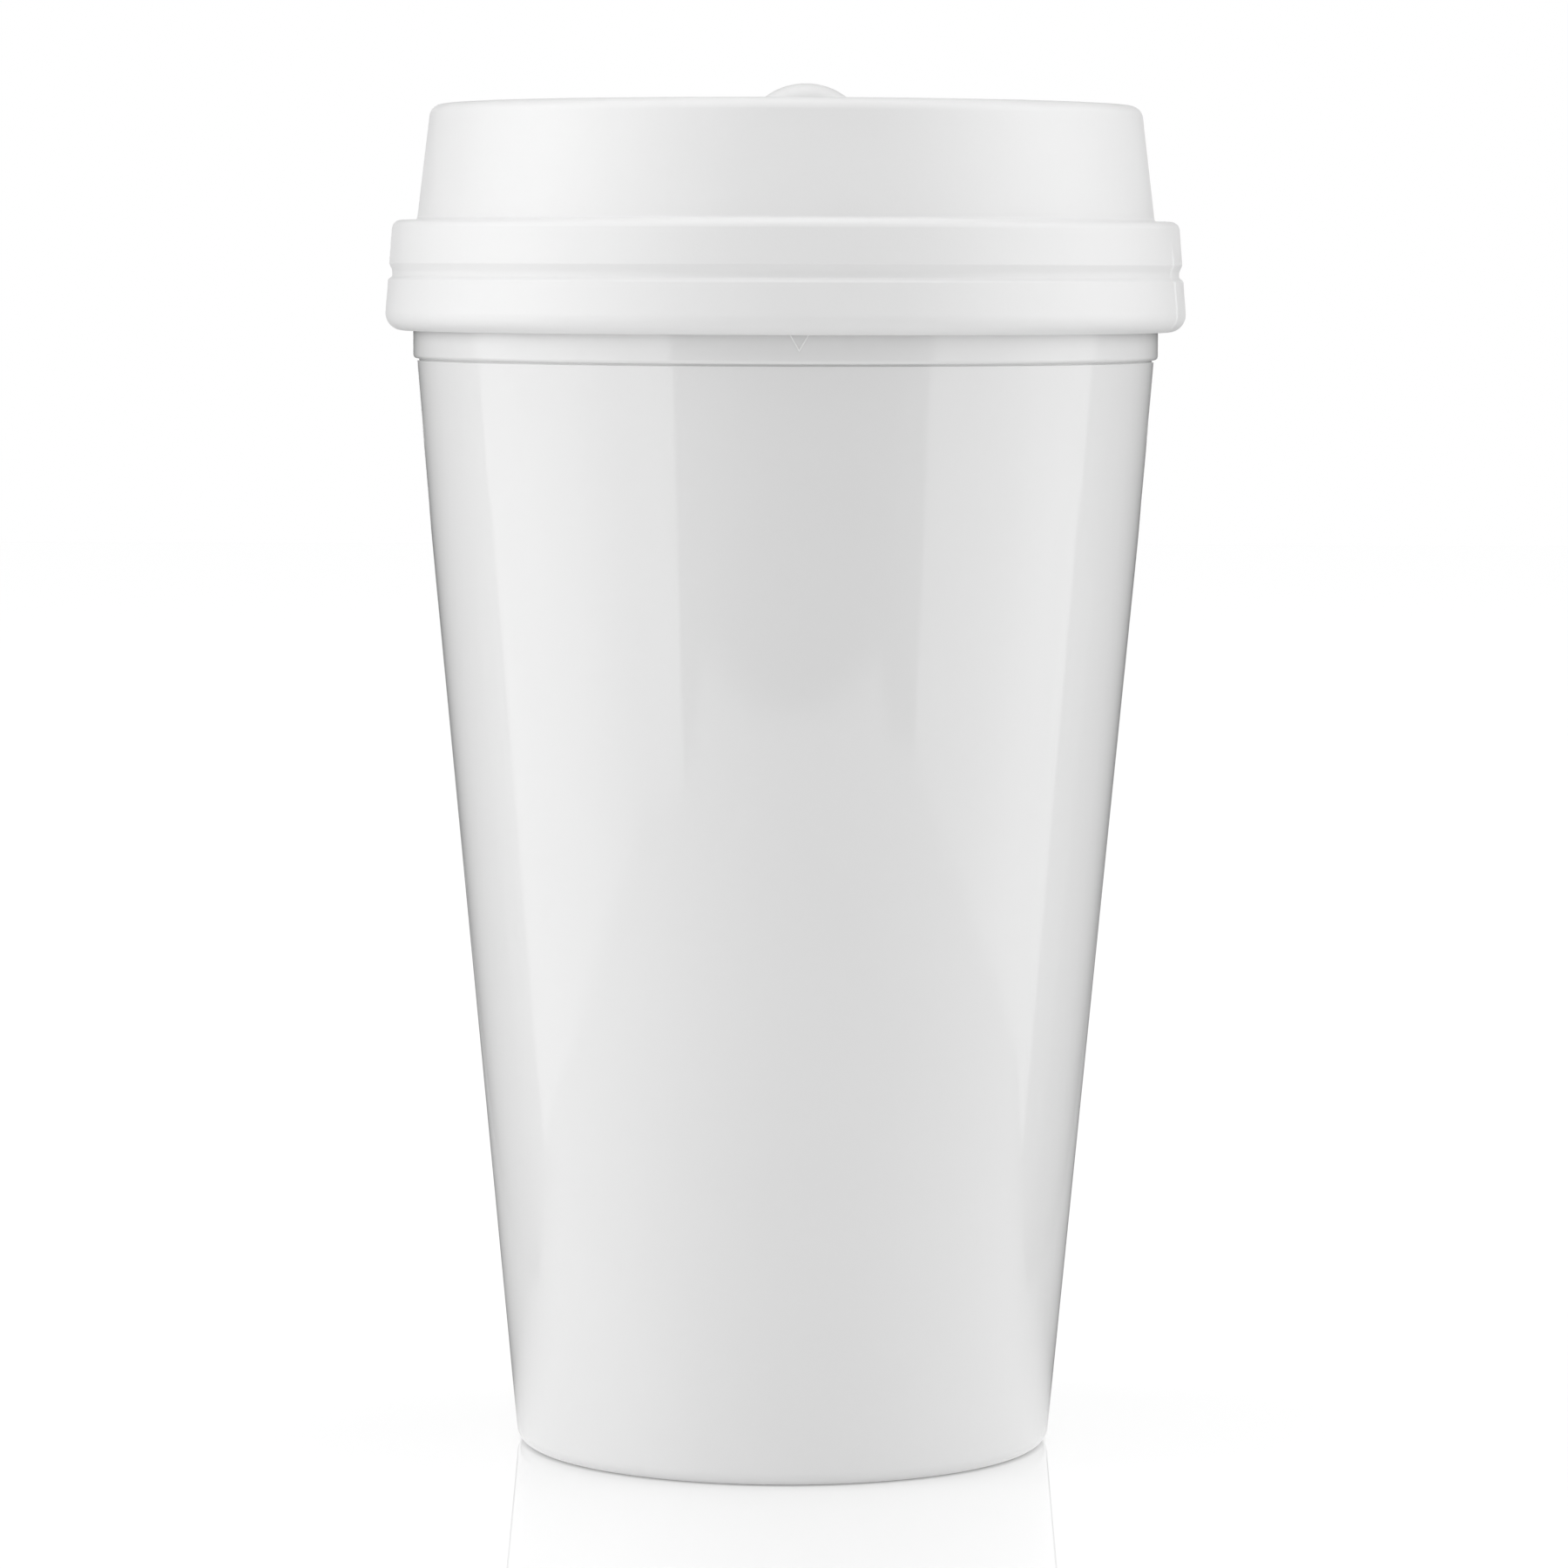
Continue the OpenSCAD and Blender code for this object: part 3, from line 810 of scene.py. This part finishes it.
def shade(colour, share):
    """A colour made darker or paler by a share."""
    return (*[min(1.0, c * share) for c in colour], 1)


# Materials

PLASTIC_IOR = 1.5
WHITE = 0.80  # lid and closure
SHELL_WHITE = 0.772  # shell and liner
MARK_HIGHLIGHT = 0.93  # painted highlight: paler colour on the alignment mark's raised strokes, where light catches them
SEAL_COLOUR = (0.62, 0.62, 0.61)

# Noise scales are per metre, and the tints are shares of the colour
NOISE_LOW = 0.3
NOISE_HIGH = 0.7
CLOUD_SCALE = 35.0
CLOUD_DETAIL = 3.0
CLOUD_TWIST = 0.4
CLOUD_DARK = 0.985
CLOUD_PALE = 1.01
UNEVEN_SCALE = 140.0  # of the uneven gloss
UNEVEN_DETAIL = 4.0
WAVE_SCALE = 22.0  # of the slow waves in a glossy wall
WAVE_DETAIL = 1.0
GRAIN_DETAIL = 3.0
SATIN_VARY = 0.04
GLOSSY ={"vary": 0.02, "grain": 0.0000012, "grain_scale": 900.0, "wave": 0.00002}
PROUD_FROM = COLLAR_R + 0.01  # radius beyond which the liner is only its mark, which gets the painted highlight


def plastic(name, colour, rough, vary, grain, grain_scale, wave=0.0, proud=None):
    """A moulded plastic: slight mottling, uneven gloss and a fine surface grain.

    Grain and wave are depths in metres. Past the radius proud goes a painted highlight, a paler
    colour.
    """
    mat = bpy.data.materials.new(name)
    mat.use_nodes = True
    tree = mat.node_tree
    place = tree.nodes.new("ShaderNodeTexCoord").outputs["Object"]
    clouds = noise(tree, place, CLOUD_SCALE, CLOUD_DETAIL, CLOUD_TWIST)
    tint = blend(tree, clouds, shade(colour, CLOUD_DARK), shade(colour, CLOUD_PALE))
    if proud:
        # painted highlight: the mark's strokes get a paler colour in place of the light they catch
        tint = painted_mark_highlight(tree, place, tint, proud)
    uneven = noise(tree, place, UNEVEN_SCALE, UNEVEN_DETAIL)
    gloss = ramp(tree, uneven, NOISE_LOW, NOISE_HIGH, rough - vary, rough + vary)
    slow = bumpy(tree, noise(tree, place, WAVE_SCALE, WAVE_DETAIL), wave) if wave else None
    normal = bumpy(tree, noise(tree, place, grain_scale, GRAIN_DETAIL), grain, slow)
    bsdf = tree.nodes["Principled BSDF"]
    bsdf.inputs["IOR"].default_value = PLASTIC_IOR
    tree.links.new(tint, bsdf.inputs["Base Color"])
    tree.links.new(gloss, bsdf.inputs["Roughness"])
    tree.links.new(normal, bsdf.inputs["Normal"])
    return mat


def painted_mark_highlight(tree, place, tint, radius):
    """A painted highlight on the mark's raised strokes: a paler colour past a radius round the
    axis.
    """
    level = tree.nodes.new("ShaderNodeVectorMath")
    level.operation = "MULTIPLY"
    level.inputs[1].default_value = (1, 1, 0)
    tree.links.new(place, level.inputs[0])
    reach = distance(tree, level.outputs["Vector"])
    share = ramp(tree, reach, radius * MM, (radius + MARK_PROUD / 2) * MM, 0.0, 1.0)
    return blend(tree, share, tint, (MARK_HIGHLIGHT, MARK_HIGHLIGHT, MARK_HIGHLIGHT, 1))


shell_mat = plastic("shell_gloss", (SHELL_WHITE,) * 3, 0.07, **GLOSSY)
liner_mat = plastic("liner_gloss", (SHELL_WHITE,) * 3, 0.09, **GLOSSY, proud=PROUD_FROM)
lid_mat = plastic("lid_satin", (WHITE,) * 3, 0.42, SATIN_VARY, 0.000008, 4200.0)
slider_mat = plastic("slider_satin", (WHITE,) * 3, 0.38, SATIN_VARY, 0.000007, 4200.0)
seal_mat = plastic("seal_soft", SEAL_COLOUR, 0.55, SATIN_VARY, 0.000006, 3000.0)


def dress(obj, body, node, mat):
    obj.data.materials.append(mat)
    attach(obj, body)
    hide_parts(node)


dress(make_shell(), "cup", "outer_shell", shell_mat)
dress(make_liner(), "cup", "inner_liner", liner_mat)
dress(make_seal(), "seal", "lid_seal", seal_mat)
dress(make_lid(), "lid", "lid_body", lid_mat)
dress(make_slider(), "slider", "closure_slider", slider_mat)


# Studio. Lengths are in metres, and a brightness of 1 is white.

CAMERA_X = -0.00003
CAMERA_Y = -0.740
CAMERA_Z = 0.1365
CAMERA_DOWN = 4.637  # degrees below the level
CAMERA_ROLL = 0.0029  # radians
CAMERA_LENS = 147.22
SENSOR = 36.0

SEES_WHITE = ("Is Camera Ray", "Is Glossy Ray", "Is Transmission Ray")
AMBIENT = 0.63  # light from all round

# The floor
FLOOR_SIDE = 1.6  # to the left, right and front
FLOOR_REAR = 2.4
FLOOR_BASE = 0.5  # its matt colour
FLOOR_ROUGH = 0.9
FLOOR_GLOW = 0.35  # its glow as a light
FLOOR_LIFT = 0.53  # its glow as seen, in front
FLOOR_LIFT_BACK = 0.63  # and from LIFT_Y on
LIFT_Y = 0.5
FOOT_SHADE = (0.0292, 0.0308)  # radii under the foot between which the glow starts
MIRROR_ROUGH = 0.04
# Share of mirror by the angle of the look above the floor, in degrees
MIRROR = [(13.7, 0.0), (11.9, 0.34), (8.0, 0.46), (4.0, 0.68), (0.0, 1.0)]

# The floor as reflections in the cup see it, pale in front of the cup and dark behind it
SEEN_FLOOR_Z = -0.0015
SEEN_PALE = 1.0
SEEN_DARK = 0.15
DARK_Y = 0.045

# Cards, which only reflections see
LYING_Z = -0.0010  # height of what the cup's wall sees, just above the floor seen
LYING_REACH = 2.0  # how far it goes on behind the card's line
CARD_LOW = 0.09
CARD_HIGH = 0.6
FRONT_HIGH = 0.30  # height of the low card in front
WALL_R = 0.038  # the cup's radius at half its height
SEARCH_ROUNDS = 40


def seen_by(tree, *rays):
    """1 for the named kinds of ray, 0 for the others."""
    path = tree.nodes.new("ShaderNodeLightPath")
    seen = path.outputs[rays[0]]
    for ray in rays[1:]:
        seen = calculate(tree, "MAXIMUM", seen, path.outputs[ray])
    return seen


def make_world():
    """White for what looks at it, and soft light from all round."""
    world = bpy.data.worlds.new("studio")
    bpy.context.scene.world = world
    world.use_nodes = True
    tree = world.node_tree
    sky = tree.nodes["Background"]
    sky.inputs["Color"].default_value = (1, 1, 1, 1)
    strength = ramp(tree, seen_by(tree, *SEES_WHITE), 0.0, 1.0, AMBIENT, 1.0)
    tree.links.new(strength, sky.inputs["Strength"])


def studio_mesh(name, verts, faces):
    """A mesh that belongs to the studio and not to the cup."""
    mesh = bpy.data.meshes.new(name)
    mesh.from_pydata(verts, [], faces)
    obj = bpy.data.objects.new(name, mesh)
    bpy.context.scene.collection.objects.link(obj)
    return obj


def mirror_share(tree):
    """The share of mirror in the floor, by the angle of the look."""
    look = tree.nodes.new("ShaderNodeLayerWeight")
    share = tree.nodes.new("ShaderNodeValToRGB")
    marks = share.color_ramp.elements
    while len(marks) < len(MIRROR):
        marks.new(0.5)
    for mark, (angle, _) in zip(marks, MIRROR):
        mark.position = 1 - math.sin(angle * RAD)
    for mark, (_, level) in zip(marks, MIRROR):
        mark.color = (level, level, level, 1)
    tree.links.new(look.outputs["Facing"], share.inputs["Fac"])
    return share.outputs["Color"]


def make_floor():
    """A pale matt floor with a glow, and a mirror only for a grazing look.

    Under the cup's foot its glow ends, so that the foot meets a shadow. Reflections in
    the cup see another floor in its place, which lies just below.
    """
    side, rear = FLOOR_SIDE, FLOOR_REAR
    corners = [(-side, -side, 0), (side, -side, 0), (side, rear, 0), (-side, rear, 0)]
    floor = studio_mesh("floor", corners, [(0, 1, 2, 3)])
    floor.visible_glossy = False
    mat = bpy.data.materials.new("pale_floor")
    floor.data.materials.append(mat)
    mat.use_nodes = True
    tree = mat.node_tree
    nodes, links = tree.nodes, tree.links
    place = nodes.new("ShaderNodeTexCoord").outputs["Object"]
    parts = nodes.new("ShaderNodeSeparateXYZ")
    links.new(place, parts.inputs[0])
    lift = ramp(tree, parts.outputs["Y"], 0.0, LIFT_Y, FLOOR_LIFT, FLOOR_LIFT_BACK)
    glow = ramp(tree, seen_by(tree, *SEES_WHITE), 0.0, 1.0, FLOOR_GLOW, lift)
    open_air = ramp(tree, distance(tree, place), *FOOT_SHADE, 0.0, 1.0)
    matt = nodes["Principled BSDF"]
    matt.inputs["Base Color"].default_value = (FLOOR_BASE, FLOOR_BASE, FLOOR_BASE, 1)
    matt.inputs["Roughness"].default_value = FLOOR_ROUGH
    matt.inputs["Specular IOR Level"].default_value = 0.0
    matt.inputs["Emission Color"].default_value = (1, 1, 1, 1)
    links.new(calculate(tree, "MULTIPLY", glow, open_air), matt.inputs["Emission Strength"])
    mirror = nodes.new("ShaderNodeBsdfGlossy")
    mirror.inputs["Color"].default_value = (1, 1, 1, 1)
    mirror.inputs["Roughness"].default_value = MIRROR_ROUGH
    mix = nodes.new("ShaderNodeMixShader")
    links.new(mirror_share(tree), mix.inputs["Fac"])
    links.new(matt.outputs[0], mix.inputs[1])
    links.new(mirror.outputs[0], mix.inputs[2])
    links.new(mix.outputs[0], nodes["Material Output"].inputs["Surface"])


def glowing_mesh(name, verts, faces, levels):
    """A mesh with a brightness at each vertex, which only reflections see."""
    obj = studio_mesh(name, verts, faces)
    shades = obj.data.color_attributes.new("level", "FLOAT_COLOR", "POINT")
    for k, level in enumerate(levels):
        shades.data[k].color = (level, level, level, 1)
    mat = bpy.data.materials.new(name)
    obj.data.materials.append(mat)
    mat.use_nodes = True
    nodes, links = mat.node_tree.nodes, mat.node_tree.links
    nodes.clear()
    out = nodes.new("ShaderNodeOutputMaterial")
    glow = nodes.new("ShaderNodeEmission")
    brightness = nodes.new("ShaderNodeVertexColor")
    brightness.layer_name = "level"
    links.new(brightness.outputs["Color"], glow.inputs["Color"])
    links.new(glow.outputs[0], out.inputs["Surface"])
    obj.visible_camera = False
    obj.visible_diffuse = False
    obj.visible_transmission = False
    obj.visible_volume_scatter = False
    obj.visible_shadow = False


def way_through(x, y):
    """Direction over the floor in which the cup's wall mirrors the camera's look to a place.

    Where it does so, the wall faces half way between the camera and the place. Each
    round of the search comes nearer to that spot, which lies turn round from the front.
    """
    turn = 0.0
    for _ in range(SEARCH_ROUNDS):
        sx, sy = WALL_R * math.sin(turn), -WALL_R * math.cos(turn)
        way = math.atan2(x - sx, sy - y)
        turn += 0.5 * ((way - math.atan2(sx, sy - CAMERA_Y)) / 2 - turn)
    return math.sin(way), -math.cos(way)


def card(name, high, stops):
    """A card along a line, as reflections in the cup see it.

    The stops are (x, y, brightness), and the brightness runs evenly between them.
    The lid sees it upright. The cup's wall looks down, so for it the card lies on the
    floor behind the line. The gap below keeps the upright part out of the floor's mirror.
    """
    verts, faces, levels = [], [], []
    for x, y, level in stops:
        dx, dy = way_through(x, y)
        far = (x + dx * LYING_REACH, y + dy * LYING_REACH, LYING_Z)
        verts += [(x, y, CARD_LOW), (x, y, high), (x, y, LYING_Z), far]
        levels += [level] * 4
    for k in range(0, len(verts) - 4, 4):
        faces.append((k, k + 4, k + 5, k + 1))
        faces.append((k + 2, k + 6, k + 7, k + 3))
    glowing_mesh(name, verts, faces, levels)


def upright(name, half_width, y, low, high, level):
    """A plain upright card across the view."""
    corners = [
        (-half_width, y, low), (half_width, y, low), (half_width, y, high), (-half_width, y, high),
    ]
    glowing_mesh(name, corners, [(0, 1, 2, 3)], [level] * 4)


def seen_floor():
    """The floor that reflections in the cup see."""
    rows = [
        (-FLOOR_SIDE, SEEN_PALE), (0.0, SEEN_PALE), (DARK_Y, SEEN_DARK), (FLOOR_REAR, SEEN_DARK),
    ]
    verts = [(x, y, SEEN_FLOOR_Z) for y, _ in rows for x in (-FLOOR_SIDE, FLOOR_SIDE)]
    faces = [(k, k + 1, k + 3, k + 2) for k in (0, 2, 4)]
    glowing_mesh("floor_seen", verts, faces, [level for _, level in rows for _ in range(2)])


def flag(side, edge):
    """Stops of a black flag beside and behind the cup, grey at its front edge."""
    return [
        (side * 0.170, 0.025, edge), (side * 0.130, 0.025, 0.25), (side * 0.100, 0.025, 0.05),
        (side * 0.118, 0.150, 0.0), (side * 0.162, 0.500, 0.0), (side * 0.310, 1.700, 0.0),
    ]


make_world()
make_floor()
card("box_left", CARD_HIGH, [
    (-0.180, -0.280, 1.60), (-0.243, -0.232, 1.35), (-0.247, -0.115, 1.60),
    (-0.200, 0.000, 1.40), (-0.170, 0.025, 1.10),
])
card("dark_front", FRONT_HIGH, [
    (-0.180, -0.280, 0.15), (-0.182, -0.378, 0.15), (-0.135, -0.377, 0.10),
    (-0.060, -0.374, 0.0), (0.060, -0.371, 0.0), (0.210, -0.368, 0.05),
    (0.212, -0.305, 0.20), (0.250, -0.268, 0.40),
])
card("box_right", CARD_HIGH, [
    (0.250, -0.268, 1.45), (0.265, -0.150, 1.45), (0.255, -0.050, 1.70),
    (0.225, 0.010, 1.45), (0.170, 0.025, 1.20),
])
card("flag_left", CARD_HIGH, flag(-1, 0.45))
card("flag_right", CARD_HIGH, flag(1, 0.35))
upright("box_top", half_width=0.45, y=-0.45, low=0.34, high=1.0, level=0.85)
upright("dark_high", half_width=1.0, y=0.5, low=0.22, high=1.4, level=0.0)
seen_floor()

# Lamps: degrees round from the front, height, distance from the axis, side and power
LAMP_AIM_Z = 0.08
LAMPS = {
    "lamp_left": (-80, 0.75, 1.6, 1.0, 10.0),
    "lamp_left_low": (-64, 0.25, 1.6, 1.0, 2.8),
    "lamp_right": (80, 0.75, 1.6, 1.0, 7.2),
    "lamp_right_back": (110, 0.75, 1.6, 1.2, 4.6),
    "lamp_top": (0, 1.7, 0.2, 1.2, 6.3),
}


def lamp(name, turn, height, away, side, power):
    """A soft square lamp that lights surfaces but is not mirrored in them."""
    data = bpy.data.lights.new(name, "AREA")
    data.shape = "SQUARE"
    data.size = side
    data.energy = power
    obj = bpy.data.objects.new(name, data)
    obj.location = (away * math.sin(turn * RAD), -away * math.cos(turn * RAD), height)
    aim = Vector((0, 0, LAMP_AIM_Z)) - obj.location
    obj.rotation_euler = aim.to_track_quat("-Z", "Y").to_euler()
    obj.visible_glossy = False
    obj.visible_camera = False
    bpy.context.scene.collection.objects.link(obj)


for lamp_name, placing in LAMPS.items():
    lamp(lamp_name, *placing)

# Camera
camera = bpy.data.objects.new("camera", bpy.data.cameras.new("camera"))
bpy.context.scene.collection.objects.link(camera)
camera.data.sensor_width = SENSOR
camera.data.lens = CAMERA_LENS
camera.location = (CAMERA_X, CAMERA_Y, CAMERA_Z)
pitch = Matrix.Rotation((90 - CAMERA_DOWN) * RAD, 4, "X")
camera.rotation_euler = (pitch @ Matrix.Rotation(CAMERA_ROLL, 4, "Z")).to_euler()
bpy.context.scene.camera = camera

bpy.context.scene.view_settings.view_transform = "Standard"
